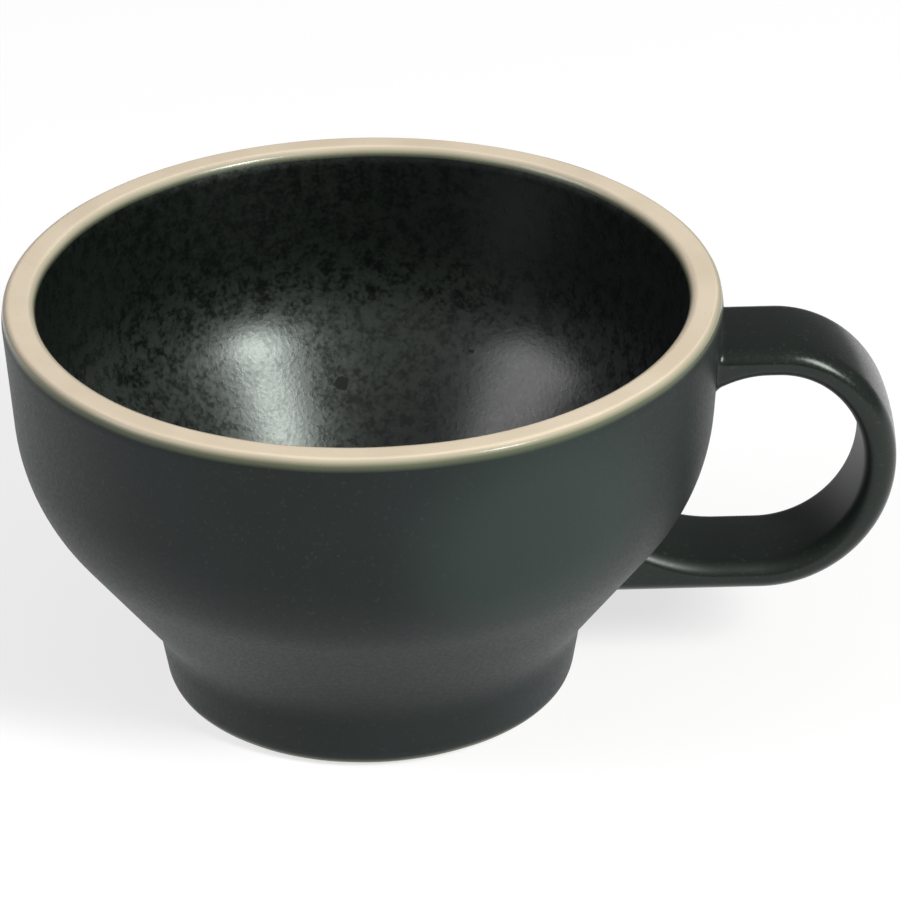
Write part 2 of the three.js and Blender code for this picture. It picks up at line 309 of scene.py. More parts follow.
def outside_corners(bowl):
    """Corners from the foot up the outside to the rim."""
    return [
        (bowl.foot_radius, 0.0, bowl.foot_edge),
        (bowl.waist_radius, bowl.waist_height, bowl.waist_fillet),
        (bowl.belly_radius, bowl.belly_height, bowl.belly_bend),
        (bowl.mouth_radius, bowl.height, bowl.rim_edge),
    ]


def inside_corners(bowl):
    """Corners from the rim down the inside to the middle of the floor.

    The wall and the slope lie a wall's thickness behind the outside.
    """
    _, waist, belly, mouth = outside_corners(bowl)
    inner = moved_corner(waist, belly, mouth, -bowl.wall)
    floor = bowl.recess_depth + bowl.floor_thickness
    rise = (belly[1] - waist[1]) / (belly[0] - waist[0])
    return [
        (bowl.mouth_radius - bowl.wall, bowl.height, bowl.lip_edge),
        (inner[0], inner[1], bowl.belly_bend - bowl.wall),
        (inner[0] - (inner[1] - floor) / rise, floor, bowl.floor_bend),
        (0.0, floor, 0.0),
    ]


def plain(corner):
    """A corner with no bend."""
    return (corner[0], corner[1], 0.0)


def outside_outline(bowl):
    """Clay from the foot ring up the outside to the rim's inner edge."""
    start = plain(underside_corners(bowl)[-1])
    end = plain(inside_corners(bowl)[0])
    return spaced(rounded_outline([start, *outside_corners(bowl), end]), OUTLINE_STEP)


# Meshes on a grid of two parameters


def turn_angles():
    """Angles of the columns about the vertical axis."""
    return np.linspace(0, 2 * math.pi, TURN_COLUMNS, endpoint=False)


def uneven(radius, height, angles, bowl):
    """Radius of a hand-finished wall.

    Three slow waves run round the axis, drift with the height, and fade towards the axis.
    """
    climb = height / bowl.height
    waves = (
        np.sin(2 * angles + 2.0 * climb + 0.6)
        + 0.6 * np.sin(3 * angles - 5.0 * climb + 2.1)
        + 0.4 * np.sin(5 * angles + 11.0 * climb + 4.0)
    )
    return radius + bowl.unevenness * waves * np.minimum(radius / bowl.foot_radius, 1.0)


def turned(radius, height, bowl):
    """Points of an outline (rows) turned about the vertical axis (columns), with the wall's unevenness."""
    angles = turn_angles()[None, :]
    radius = uneven(radius, height, angles, bowl)
    height = np.broadcast_to(height, radius.shape)
    return np.stack([radius * np.cos(angles), radius * np.sin(angles), height], axis=-1)


def grid_faces(rows, columns, closed_rows):
    """Quads of a grid whose columns close into a ring, and whose rows do too where told."""
    row = np.arange(rows if closed_rows else rows - 1)[:, None]
    column = np.arange(columns)[None, :]
    here = row * columns
    ahead = ((row + 1) % rows) * columns
    beside = (column + 1) % columns
    quads = np.stack([here + column, here + beside, ahead + beside, ahead + column], axis=-1)
    return quads.reshape(-1, 4)


def pole_faces(ring, pole, at_start):
    """Triangles from a ring of vertices to one vertex on the axis."""
    beside = np.roll(ring, -1)
    tip = np.full(len(ring), pole)
    first, second = (beside, ring) if at_start else (ring, beside)
    return np.stack([first, second, tip], axis=1)


def grid_piece(name, points, node, material, closed_rows=False, values=None):
    """A piece from a grid of points whose rows are rings.

    Open ends are closed by a vertex in the middle, and values become attributes of the points.
    """
    rows, columns = points.shape[:2]
    vertices = points.reshape(-1, 3)
    faces = grid_faces(rows, columns, closed_rows).tolist()
    if not closed_rows:
        ends = np.stack([points[0].mean(axis=0), points[-1].mean(axis=0)])
        vertices = np.concatenate([vertices, ends])
        first = np.arange(columns)
        faces += pole_faces(first, rows * columns, True).tolist()
        faces += pole_faces(first + (rows - 1) * columns, rows * columns + 1, False).tolist()
    mesh = bpy.data.meshes.new(name)
    mesh.from_pydata(vertices.tolist(), [], faces)
    mesh.polygons.foreach_set("use_smooth", np.ones(len(mesh.polygons), dtype=bool))
    for key, value in (values or {}).items():
        spread = np.ones(len(vertices), dtype=np.float32)
        spread[: value.size] = value.ravel()
        mesh.attributes.new(key, "FLOAT", "POINT").data.foreach_set("value", spread)
    mesh.materials.append(material)
    mesh.validate()
    piece = bpy.data.objects.new(name, mesh)
    bpy.context.scene.collection.objects.link(piece)
    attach(piece, BODY)
    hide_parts(node)


# Glaze coats on the bowl

GLAZE_RUN = "glaze_run"  # distance from a coat's free edge, as a share of RUN_LENGTH
INNER_SIDE = "inner_side"  # 1 on the strap's side towards the finger, 0 on its outer side
RUN_LENGTH = 3.0 * MM
EDGE_LIP = 0.7 * MM
EDGE_SINK = 0.03 * MM
LEAST_FILM = 0.02 * MM
EDGE_CROWDING = 0.9  # the nearer to 1, the closer together a coat's rows lie at its free edges
FOOT_PHASE, RIM_PHASE, LIP_PHASE, RECESS_PHASE = 0.4, 1.3, 2.7, 3.9  # of the wandering glaze lines


def soft_step(way):
    """A rise from 0 to 1 that starts and ends level."""
    way = np.clip(way, 0, 1)
    return way**2 * (3 - 2 * way)


def coat_thickness(distance, glaze):
    """Height of a coat above the clay by the distance from its free edge.

    A soft step lifts it out of the clay over a short way to the edge thickness, and a longer one carries it
    on to the full thickness over the fade.
    """
    lip = glaze.bond_gap + glaze.edge_thickness + EDGE_SINK
    lifted = lip * soft_step(distance / EDGE_LIP) - EDGE_SINK
    return lifted + (glaze.thickness - glaze.edge_thickness) * soft_step(distance / glaze.fade)


def glaze_line(glaze, phase):
    """How far a glaze line wanders along the clay round the axis: a sum of sines of falling height."""
    angles = turn_angles()
    waves = (
        np.sin(2 * angles + phase)
        + 0.8 * np.sin(5 * angles + 2.3 * phase)
        + 0.5 * np.sin(11 * angles + 3.1 * phase)
        + 0.3 * np.sin(23 * angles + 4.7 * phase)
    )
    return glaze.wander * waves


def distance_at_height(outline, height, last):
    """Distance along an outline where it first, or last, crosses a height."""
    above = outline[:, 1] >= height
    crossings = np.flatnonzero(above[1:] != above[:-1])
    i = crossings[-1 if last else 0]
    along = distances_along(outline)
    part = (height - outline[i, 1]) / (outline[i + 1, 1] - outline[i, 1])
    return along[i] + part * (along[i + 1] - along[i])


def line_along(outline, height, phase, glaze, last=False):
    """Distance along an outline, round the axis, of a glaze line that wanders about a height."""
    return distance_at_height(outline, height, last) + glaze_line(glaze, phase)


def dense_shares(edge_at_start, edge_at_end):
    """Shares of the way along a coat: even ones moved by a sine towards its free edges."""
    even = np.linspace(0, 1, COAT_ROWS)
    if edge_at_start and edge_at_end:
        return even - EDGE_CROWDING * np.sin(2 * math.pi * even) / (2 * math.pi)
    if edge_at_start:
        return even - EDGE_CROWDING * np.sin(math.pi * even) / math.pi
    return even + EDGE_CROWDING * np.sin(math.pi * even) / math.pi


def coat_points(outline, start, end, edges, bowl, glaze):
    """A coat's outer and under surface over a stretch of outline, and the distance from its free edge.

    Rows run from the start to the end of the stretch, which may wander with the angle. Each point is the
    clay's point moved along its normal by the height of that surface there.
    """
    along = distances_along(outline)
    normals = outward_normals(outline)
    shares = dense_shares(*edges)[:, None]
    place = start + (end - start) * shares
    far = np.full_like(place, glaze.fade * 2)
    from_edge = np.minimum(place - start if edges[0] else far, end - place if edges[1] else far)
    columns = (*outline.T, *normals.T)
    radius, height, out, up = (np.interp(place, along, column) for column in columns)
    over = coat_thickness(from_edge, glaze)
    under = np.minimum(over - LEAST_FILM, glaze.bond_gap)
    surfaces = [turned(np.maximum(radius + out * d, 0), height + up * d, bowl) for d in (over, under)]
    return surfaces[0], surfaces[1], from_edge


def coat_piece(name, node, outline, start, end, edges, material, settings):
    """A glaze coat as one closed shell: out over its outer surface and back under it."""
    over, under, from_edge = coat_points(outline, start, end, edges, settings.bowl, settings.glaze)
    run = np.clip(from_edge / RUN_LENGTH, 0, 1)
    if edges[0]:
        points = np.concatenate([under[::-1], over])
        values = np.concatenate([run[::-1], run])
    else:
        points = np.concatenate([over, under[::-1]])
        values = np.concatenate([run, run[::-1]])
    closed = edges[0] and edges[1]
    grid_piece(name, points, node, material, closed, {GLAZE_RUN: values})


# Handle

ROOT_SINK = 2 * EDGE_SINK  # how far below the face of the wall's coat the strap's starts
SIDE_SHARE = 0.08  # the outside is looked up above this share of its height


def bezier(a, b, c, d, t):
    """Points of a cubic Bezier curve at parameters t."""
    t = t[:, None]
    return a * (1 - t) ** 3 + 3 * b * t * (1 - t) ** 2 + 3 * c * t * t * (1 - t) + d * t**3


def strap_bow(bowl, handle):
    """Middle line of the bow in the plane of the handle.

    Two Bezier quarters lead from the upper run to the farthest point and on to the lower run.
    """
    upper = bowl.height - handle.drop
    lower = bowl.waist_height + handle.lower_rise
    top = np.array([bowl.mouth_radius + handle.upper_straight, upper])
    far = np.array([bowl.mouth_radius + handle.projection, (upper + lower) / 2 + handle.swell_rise])
    low = np.array([bowl.mouth_radius + handle.lower_straight, lower])
    t = np.linspace(0, 1, BOW_ROWS)
    level = np.array([QUARTER_CIRCLE, 0.0])
    plumb = np.array([0.0, QUARTER_CIRCLE])
    first = bezier(top, top + level * (far - top), far + plumb * (top - far), far, t)
    second = bezier(far, far + plumb * (low - far), low + level * (far - low), low, t)
    return np.concatenate([first, second[1:]])


def strap_section(handle, grow):
    """The strap's section, grown all round by a length: points (across, depth) and their outward normals.

    It is a rounded rectangle whose depth falls off with the square of the distance across, so that both
    faces are crowned.
    """
    width, thickness, edge = handle.width + 2 * grow, handle.thickness + 2 * grow, handle.edge + grow
    quarter = np.linspace(0, math.pi / 2, STRAP_EDGE_COLUMNS)
    points, normals = [], []
    for corner, (wide, outer) in enumerate([(1, 1), (-1, 1), (-1, -1), (1, -1)]):
        swing = quarter + corner * math.pi / 2
        normal = np.stack([np.cos(swing), np.sin(swing)], axis=1)
        centre = np.array([wide * (width / 2 - edge), outer * (thickness / 2 - edge)])
        points.append(centre + edge * normal)
        normals.append(normal)
        columns = STRAP_FACE_COLUMNS if corner % 2 == 0 else STRAP_SIDE_COLUMNS
        following = centre * [-1, 1] if corner % 2 == 0 else centre * [1, -1]
        part = np.linspace(0, 1, columns + 1, endpoint=False)[1:, None]
        last = normal[-1]
        points.append(centre + edge * last + (following - centre) * part)
        normals.append(np.repeat(last[None], columns, axis=0))
    section = np.concatenate(points)
    fall = handle.crown / (handle.thickness / 2)
    section[:, 1] *= 1 - fall * (section[:, 0] / (width / 2)) ** 2
    return section, np.concatenate(normals)


def wall_face(height, across, outline, lift):
    """How far out the bowl's outside lies along the handle, at a height and a distance across."""
    heights = outline[:, 1]
    side = slice(np.argmin(heights < heights.max() * SIDE_SHARE), np.argmax(heights))
    radius = np.interp(height, heights[side], outline[side, 0]) + lift
    return np.sqrt(np.maximum(radius**2 - across**2, 0))


def root_swell(reach, is_upper, bowl, handle, outline):
    """Extra thickness on the strap's inner side at distances from the axis along one root.

    It fades with the square of the distance from where the swollen root meets the bowl.
    """
    if is_upper:
        swell, fade_length = handle.upper_swell, handle.upper_swell_length
        meeting = bowl.height - handle.drop
    else:
        swell, fade_length = handle.lower_swell, handle.lower_swell_length
        meeting = bowl.waist_height + handle.lower_rise + handle.thickness / 2 + swell
    from_wall = np.maximum(reach - wall_face(meeting, 0.0, outline, 0.0), 0)
    return swell * np.maximum(1 - from_wall / fade_length, 0) ** 2


def strap_root(section, normals, run_height, bow_start, is_upper, settings):
    """Rings from the bowl's wall out to the start of the bow.

    Every column runs level from where it meets the round wall. Towards the wall the section grows by a
    quarter circle, which fillets the joint, and its inner side swells. Where a column meets the wall
    depends on its height, and its height on the swell there, so the two are settled by repeating them.
    """
    bowl, handle, glaze = settings.bowl, settings.handle, settings.glaze
    outline = outside_outline(bowl)
    coat = glaze.bond_gap + glaze.thickness - ROOT_SINK
    shares = np.linspace(0, 1, ROOT_ROWS)[:, None] ** ROOT_SPACING
    inner = section[None, :, 1] < 0
    across, depth = section[None, :, 0], section[None, :, 1]
    for _ in range(ROOT_PASSES):
        height = run_height + (depth if is_upper else -depth)
        face = wall_face(height, across, outline, coat)
        from_wall = (bow_start - face) * shares
        near = np.clip(1 - from_wall / handle.root_fillet, 0, 1)
        fillet = handle.root_fillet * FILLET_SHARE * (1 - np.sqrt(1 - near**2))
        swell = root_swell(face + from_wall, is_upper, bowl, handle, outline)
        across = section[None, :, 0] + normals[None, :, 0] * fillet
        depth = section[None, :, 1] + normals[None, :, 1] * fillet - swell * inner
    height = run_height + (depth if is_upper else -depth)
    return np.stack([face + from_wall, across, height], axis=-1)


def strap_surface(shrink, settings):
    """The strap's skin, shrunk all round by a length, from the upper root round the bow to the lower."""
    bowl, handle, glaze = settings.bowl, settings.handle, settings.glaze
    grow = glaze.bond_gap + glaze.thickness - shrink
    section, normals = strap_section(handle, grow)
    middle = strap_bow(bowl, handle)
    ahead = np.gradient(middle, axis=0)
    ahead /= np.linalg.norm(ahead, axis=1)[:, None]
    outward = np.stack([-ahead[:, 1], ahead[:, 0]], axis=1)
    flat = middle[:, None, :] + outward[:, None, :] * section[None, :, 1:]
    across = np.broadcast_to(section[None, :, 0], flat.shape[:2])
    bow = np.stack([flat[..., 0], across, flat[..., 1]], axis=-1)
    (upper_start, upper_run), (lower_start, lower_run) = middle[0], middle[-1]
    upper = strap_root(section, normals, upper_run, upper_start, True, settings)
    lower = strap_root(section, normals, lower_run, lower_start, False, settings)
    return np.concatenate([upper[:-1], bow, lower[-2::-1]])


# Finishes

# Noise lies between 0 and 1, mostly near the middle, and a span picks out a part of that range
WIDE_SPAN = (0.3, 0.7)

# Outside and strap
# Painted sheen: middle and reach of the lighter patch standing in for the key light's reflection on the
# outside
PAINTED_SHEEN_CENTRE = (18.1 * MM, -32.6 * MM, 33.0 * MM)
PAINTED_SHEEN_REACH = (7 * MM, 19 * MM)
CLOUD_SIZE = 14 * MM
CLOUD_SPAN = (0.35, 0.68)
STRAP_CLOUD_SIZE = 8 * MM
STRAP_CLOUD_LIFT = 1.25
SPECK_SIZE = 0.5 * MM
SPECK_SPAN = (0.62, 0.76)
SPECK_COVER = 0.3
SPECK_COLOUR = (0.045, 0.052, 0.048)
GRAIN_SIZE = 0.4 * MM
GRAIN_DEPTH = 0.002 * MM
PEBBLE_SIZE = 3.0 * MM
PEBBLE_DEPTH = 0.005 * MM
DULLER = 0.05  # how far the grain takes the roughness up
GLOSSIER = 0.04  # how far it takes it down
OUTSIDE_FILM = (0.06, 0.28)  # spans of the way from a free edge, as shares of RUN_LENGTH
OUTSIDE_OLIVE = (0.26, 0.50)
OUTSIDE_IOR = 1.27
STRAP_IOR = 1.42

# Inside
BLOTCH_SIZE = 1.5 * MM
INSIDE_GRAIN_SIZE = 0.5 * MM
INSIDE_GRAIN_DEPTH = 0.018 * MM
INSIDE_PEBBLE_SIZE = 3.5 * MM
INSIDE_PEBBLE_DEPTH = 0.010 * MM
MOTTLE_GRAIN = 0.35  # share of fine grain in the mottle of the colour
MOTTLE_SPAN = (0.39, 0.57)
MOTTLE_FADE_HEIGHTS = (26 * MM, 37 * MM)  # the mottle fades between these heights
UPPER_MOTTLE = 0.2  # the share of it that is left above them
SATIN_GRAIN = 0.55  # share of fine grain in the roughness
GRAIN_SIDES = (-4 * MM, 12 * MM)  # the roughness spreads less from the left to the right of these
GRAIN_STRENGTHS = (0.56, 0.24)
PITS = (
    ((-2.6 * MM, 27.5 * MM, 20.3 * MM), 0.85 * MM),  # the middle and radius of each
    ((11.9 * MM, 27.8 * MM, 23.8 * MM), 0.35 * MM),
)
PIT_NOISE_SIZE = 0.5 * MM
PIT_RAGGEDNESS = 1.4 * MM
PIT_EDGE = (0.5 * MM, 0.9 * MM)
PIT_ROUGHNESS = 0.85
# Painted shade: the pits have no dent in the mesh, so their shade is a near-black colour
PIT_SHADE_COLOUR = (0.001, 0.002, 0.0015)
INSIDE_FILM = (0.09, 0.31)
INSIDE_OLIVE = (0.28, 0.42)
INSIDE_IOR = 1.52

# Clay
CLAY_PATCH_SIZE = 9 * MM
CLAY_PATCH_SPAN = (0.35, 0.7)
CLAY_SPECK_SIZE = 0.35 * MM
CLAY_SPECK_SPAN = (0.68, 0.76)
CLAY_SPECK_COVER = 0.25
CLAY_SPECK_COLOUR = (0.42, 0.33, 0.22)
CLAY_GRAIN_SIZE = 0.3 * MM
CLAY_GRAIN_DEPTH = 0.006 * MM
CLAY_SPREAD = 0.06
CLAY_IOR = 1.3

# Slip
SLIP_PATCH_SIZE = 2.5 * MM
SLIP_DARKENING = 0.85
SLIP_GRAIN_SIZE = 0.4 * MM
SLIP_GRAIN_DEPTH = 0.02 * MM
SLIP_ROUGHNESS = (0.78, 0.92)
SLIP_IOR = 1.5


class Finish:
    """A procedural material: one Principled shader, with short calls that add and join nodes."""

    def __init__(self, name):
        self.material = bpy.data.materials.new(name)
        self.material.use_nodes = True
        self.tree = self.material.node_tree
        self.shader = self.tree.nodes["Principled BSDF"]
        self.place = self.node("ShaderNodeTexCoord").outputs["Object"]

    def node(self, kind, inputs=None, **settings):
        """A node with its settings, and its inputs set to values or joined to other nodes' outputs."""
        node = self.tree.nodes.new(kind)
        for key, value in settings.items():
            setattr(node, key, value)
        for key, value in (inputs or {}).items():
            self.join(value, node.inputs[key])
        return node

    def join(self, value, socket):
        """Sets a socket to a value or joins an output to it."""
        if isinstance(value, bpy.types.NodeSocket):
            self.tree.links.new(value, socket)
        elif hasattr(value, "__len__") and len(value) == 3 and socket.type == "RGBA":
            socket.default_value = (*value, 1.0)
        else:
            socket.default_value = value

    def set(self, **inputs):
        """Sets or joins inputs of the shader, with spaces in their names as underscores."""
        for key, value in inputs.items():
            self.join(value, self.shader.inputs[key.replace("_", " ")])

    def noise(self, size, detail=2.0, roughness=0.5, shift=0.0):
        """Noise whose features measure about a given length."""
        moved = self.node("ShaderNodeMapping", {"Vector": self.place, "Location": (shift, shift, shift)})
        inputs = {"Scale": 1 / size, "Detail": detail, "Roughness": roughness}
        inputs["Vector"] = moved.outputs["Vector"]
        return self.node("ShaderNodeTexNoise", inputs).outputs["Fac"]

    def span(self, value, low, high, to_low=0.0, to_high=1.0, way="SMOOTHSTEP"):
        """A value carried from one range to another, smoothly unless told, and held at its ends."""
        inputs = {"Value": value, "From Min": low, "From Max": high, "To Min": to_low, "To Max": to_high}
        return self.node("ShaderNodeMapRange", inputs, interpolation_type=way).outputs["Result"]

    def ramp(self, value, low, high):
        """A value carried evenly from a range to 0 to 1, and held at its ends."""
        return self.span(value, low, high, way="LINEAR")

    def distance(self, point):
        """Distance from a point of the cup."""
        apart = self.node("ShaderNodeVectorMath", {0: self.place, 1: point}, operation="DISTANCE")
        return apart.outputs["Value"]

    def mix(self, part, first, second):
        """A colour between two colours."""
        return self.node("ShaderNodeMix", {0: part, 6: first, 7: second}, data_type="RGBA").outputs[2]

    def mix_values(self, part, first, second):
        """A value between two values."""
        return self.node("ShaderNodeMix", {0: part, 2: first, 3: second}).outputs[0]

    def math(self, operation, first, second):
        """Two values joined by an operation."""
        return self.node("ShaderNodeMath", {0: first, 1: second}, operation=operation).outputs[0]

    def bump(self, height, depth, normal=None):
        """A normal tilted by a height from 0 to 1 that stands for a depth in metres."""
        inputs = {"Height": height, "Distance": depth, "Strength": 1.0}
        if normal is not None:
            inputs["Normal"] = normal
        return self.node("ShaderNodeBump", inputs).outputs["Normal"]

    def attribute(self, name):
        """A value that the mesh carries."""
        return self.node("ShaderNodeAttribute", attribute_name=name).outputs["Fac"]


def set_coat(finish, thick, satin, edge_satin, glaze, film, olive):
    """Sets a coat's colour and roughness: olive, and then a pale, glossy film, towards a free edge.

    Film and olive are the spans over which the film ends and the olive glaze grows thick.
    """
    run = finish.attribute(GLAZE_RUN)
    thinning = finish.ramp(run, *olive)
    thin = finish.mix(thinning, glaze.thin_colour, thick)
    finish.set(
        # the film colour carries painted shade that evens out the light on the rounded rim edges
        Base_Color=finish.mix(finish.ramp(run, *film), glaze.edge_film_shaded_colour, thin),
        Roughness=finish.mix_values(thinning, edge_satin, satin),
    )


def green_black_glaze(name, glaze, thick, roughness, ior, inner_roughness=None):
    """Green-black glaze: a thick colour, fine pale specks and a faintly pebbled skin.

    An inner roughness, where given, holds on the strap's side towards the finger.
    """
    finish = Finish(name)
    specks = finish.span(finish.noise(SPECK_SIZE, 1.0, shift=0.3), *SPECK_SPAN)
    cover = finish.math("MULTIPLY", specks, SPECK_COVER)
    specked = finish.mix(cover, thick(finish, glaze), SPECK_COLOUR)
    grain = finish.noise(GRAIN_SIZE)
    pebble = finish.bump(finish.noise(PEBBLE_SIZE), PEBBLE_DEPTH)
    satin = finish.span(grain, *WIDE_SPAN, roughness - GLOSSIER, roughness + DULLER)
    if inner_roughness is not None:
        satin = finish.mix_values(finish.attribute(INNER_SIDE), satin, inner_roughness)
    set_coat(finish, specked, satin, glaze.edge_roughness, glaze, OUTSIDE_FILM, OUTSIDE_OLIVE)
    finish.set(
        Normal=finish.bump(grain, GRAIN_DEPTH, pebble),
        IOR=ior,
        Specular_Tint=tuple(glaze.sheen_tint),
    )
    return finish.material


def clouded(finish, glaze):
    """Slow clouds of tint, and a painted sheen on the flank to the right of the front: a lighter, greener
    patch where the key light's broad reflection falls.
    """
    clouds = finish.span(finish.noise(CLOUD_SIZE, 3.0), *CLOUD_SPAN)
    cloudy = finish.mix(clouds, glaze.outside_colour, glaze.outside_tint)
    # painted sheen, strongest round its middle and gone beyond its reach
    painted_sheen = finish.span(finish.distance(PAINTED_SHEEN_CENTRE), *PAINTED_SHEEN_REACH, 1.0, 0.0)
    return finish.mix(painted_sheen, cloudy, glaze.painted_sheen_colour)


def dark_clouded(finish, glaze):
    """Slow clouds on the strap, a little lighter than its colour."""
    clouds = finish.span(finish.noise(STRAP_CLOUD_SIZE, 3.0), *CLOUD_SPAN)
    lighter = tuple(STRAP_CLOUD_LIFT * part for part in glaze.handle_colour)
    return finish.mix(clouds, glaze.handle_colour, lighter)


def outside_glaze_finish(glaze):
    """The satin coat on the outside of the bowl."""
    return green_black_glaze("outside_glaze_finish", glaze, clouded, glaze.outside_roughness, OUTSIDE_IOR)


def handle_glaze_finish(glaze):
    """The glossier coat on the strap."""
    gloss, dull = glaze.handle_roughness, glaze.finger_roughness
    return green_black_glaze("handle_glaze_finish", glaze, dark_clouded, gloss, STRAP_IOR, dull)


def ragged_pits(finish):
    """1 in the pits of the inside and 0 round them, with a ragged edge."""
    wander = finish.noise(PIT_NOISE_SIZE, 3.0, 0.7, shift=0.6)
    ragged = finish.math("MULTIPLY", wander, PIT_RAGGEDNESS)
    near, far = PIT_EDGE
    pits = 0.0
    for point, radius in PITS:
        away = finish.math("ADD", finish.distance(point), ragged)
        pit = finish.span(away, radius + near, radius + far, 1.0, 0.0)
        pits = finish.math("MAXIMUM", pits, pit)
    return pits


def inside_glaze_finish(glaze):
    """Glaze in the bowl: lighter blotches and grains, stronger low on the wall, and two pits coloured near
    black as painted shade.
    """
    finish = Finish("inside_glaze_finish")
    blotches = finish.noise(BLOTCH_SIZE, 3.0, 0.55)
    grains = finish.noise(INSIDE_GRAIN_SIZE, shift=0.2)
    pits = ragged_pits(finish)

    across, _, height = finish.node("ShaderNodeSeparateXYZ", {"Vector": finish.place}).outputs
    low_in_bowl = finish.span(height, *MOTTLE_FADE_HEIGHTS, 1.0, UPPER_MOTTLE)
    mottle = finish.span(finish.mix_values(MOTTLE_GRAIN, blotches, grains), *MOTTLE_SPAN)
    thick = finish.mix(finish.math("MULTIPLY", mottle, low_in_bowl), glaze.inside_colour, glaze.inside_tint)
    # painted shade: the pits are coloured near black
    pitted = finish.mix(pits, thick, PIT_SHADE_COLOUR)

    grainy = finish.math("SUBTRACT", finish.mix_values(SATIN_GRAIN, blotches, grains), 0.5)
    strength = finish.span(across, *GRAIN_SIDES, *GRAIN_STRENGTHS)
    satin = finish.math("ADD", finish.math("MULTIPLY", grainy, strength), glaze.inside_roughness)
    satin = finish.math("MAXIMUM", satin, finish.math("MULTIPLY", pits, PIT_ROUGHNESS))

    set_coat(finish, pitted, satin, glaze.lip_roughness, glaze, INSIDE_FILM, INSIDE_OLIVE)
    pebble = finish.bump(finish.noise(INSIDE_PEBBLE_SIZE), INSIDE_PEBBLE_DEPTH)
    finish.set(
        Normal=finish.bump(grains, INSIDE_GRAIN_DEPTH, pebble),
        IOR=INSIDE_IOR,
        Specular_Tint=tuple(glaze.sheen_tint),
    )
    return finish.material


def clay_finish(clay):
    """Dry pale stoneware: soft patches, fine sandy grain and a few darker specks."""
    finish = Finish("clay_finish")
    patches = finish.span(finish.noise(CLAY_PATCH_SIZE, 3.0), *CLAY_PATCH_SPAN)
    body = finish.mix(patches, clay.colour, clay.shade)
    specks = finish.span(finish.noise(CLAY_SPECK_SIZE, 1.0, shift=0.4), *CLAY_SPECK_SPAN)
    cover = finish.math("MULTIPLY", specks, CLAY_SPECK_COVER)
    grain = finish.noise(CLAY_GRAIN_SIZE)
    low, high = clay.roughness - CLAY_SPREAD, clay.roughness + CLAY_SPREAD
    finish.set(
        Base_Color=finish.mix(cover, body, CLAY_SPECK_COLOUR),
        Roughness=finish.span(grain, *WIDE_SPAN, low, high),
        Normal=finish.bump(grain, CLAY_GRAIN_DEPTH),
        IOR=CLAY_IOR,
    )
    return finish.material


def slip_finish(clay):
    """Dried slip: a coarser, darker and duller clay."""
    finish = Finish("slip_finish")
    patches = finish.span(finish.noise(SLIP_PATCH_SIZE, 3.0), *WIDE_SPAN)
    darker = tuple(SLIP_DARKENING * part for part in clay.slip_colour)
    grain = finish.noise(SLIP_GRAIN_SIZE, 3.0)
    finish.set(
        Base_Color=finish.mix(patches, clay.slip_colour, darker),
        Roughness=finish.span(grain, *WIDE_SPAN, *SLIP_ROUGHNESS),
        Normal=finish.bump(grain, SLIP_GRAIN_DEPTH),
        IOR=SLIP_IOR,
    )
    return finish.material


def finish_named(name, maker, *settings):
    """The finish of that name, made the first time that it is asked for."""
    return bpy.data.materials.get(name) or maker(*settings)


# Operators


class ESPRESSOCUP_OT_clay_bowl(bpy.types.Operator):
    """Turn the clay bowl with its foot ring and bare rim"""

    bl_idname = "espresso_cup.clay_bowl"
    bl_label = "Clay bowl"

    def execute(self, context):
        settings = context.scene.espresso_cup
        bowl = settings.bowl
        corners = [*underside_corners(bowl), *outside_corners(bowl), *inside_corners(bowl)]
        outline = spaced(rounded_outline(corners), OUTLINE_STEP)[1:-1]
        points = turned(outline[:, :1], outline[:, 1:], bowl)
        material = finish_named("clay_finish", clay_finish, settings.clay)
        grid_piece("bare_clay_bowl", points, "clay_bowl", material)
        return {"FINISHED"}


class ESPRESSOCUP_OT_glaze_coats(bpy.types.Operator):
    """Coat the inside, the outside and the recess of the bowl with glaze"""

    bl_idname = "espresso_cup.glaze_coats"
    bl_label = "Glaze coats"

    def execute(self, context):
        settings = context.scene.espresso_cup
        bowl, glaze = settings.bowl, settings.glaze
        inside_finish = finish_named("inside_glaze_finish", inside_glaze_finish, glaze)
        outside_finish = finish_named("outside_glaze_finish", outside_glaze_finish, glaze)

        outline = outside_outline(bowl)
        low = line_along(outline, glaze.foot_bare, FOOT_PHASE, glaze)
        high = line_along(outline, bowl.height - glaze.rim_bare, RIM_PHASE, glaze)
        edges = (True, True)
        coat_piece("outside_coat", "outside_glaze", outline, low, high, edges, outside_finish, settings)

        corners = [plain(outside_corners(bowl)[-1]), *inside_corners(bowl)]
        outline = spaced(rounded_outline(corners), OUTLINE_STEP)
        high = line_along(outline, bowl.height - glaze.lip_bare, LIP_PHASE, glaze)
        middle = distances_along(outline)[-1] - OUTLINE_STEP
        edges = (True, False)
        coat_piece("inside_coat", "inside_glaze", outline, high, middle, edges, inside_finish, settings)

        corners = [*underside_corners(bowl), plain(outside_corners(bowl)[0])]
        outline = spaced(rounded_outline(corners), OUTLINE_STEP)
        middle = OUTLINE_STEP
        low = line_along(outline, glaze.foot_bare, RECESS_PHASE, glaze, last=True)
        edges = (False, True)
        coat_piece(
            "underside_coat", "underside_glaze", outline, middle, low, edges, outside_finish, settings
        )
        return {"FINISHED"}


class ESPRESSOCUP_OT_handle(bpy.types.Operator):
    """Carry the glazed strap round its path from the wall to the slope under the belly"""

    bl_idname = "espresso_cup.handle"
    bl_label = "Handle"

    def execute(self, context):
        settings = context.scene.espresso_cup
        glaze = settings.glaze
        material = finish_named("handle_glaze_finish", handle_glaze_finish, glaze)
        skin = strap_surface(0.0, settings)
        lining = strap_surface(glaze.thickness, settings)
        points = np.concatenate([skin, lining[::-1]])
        run = np.ones(points.shape[:2])
        inner = run * np.clip(-strap_section(settings.handle, 0.0)[1][:, 1], 0, 1)
        values = {GLAZE_RUN: run, INNER_SIDE: inner}
        grid_piece("handle_coat", points, "handle_glaze", material, True, values)
        return {"FINISHED"}


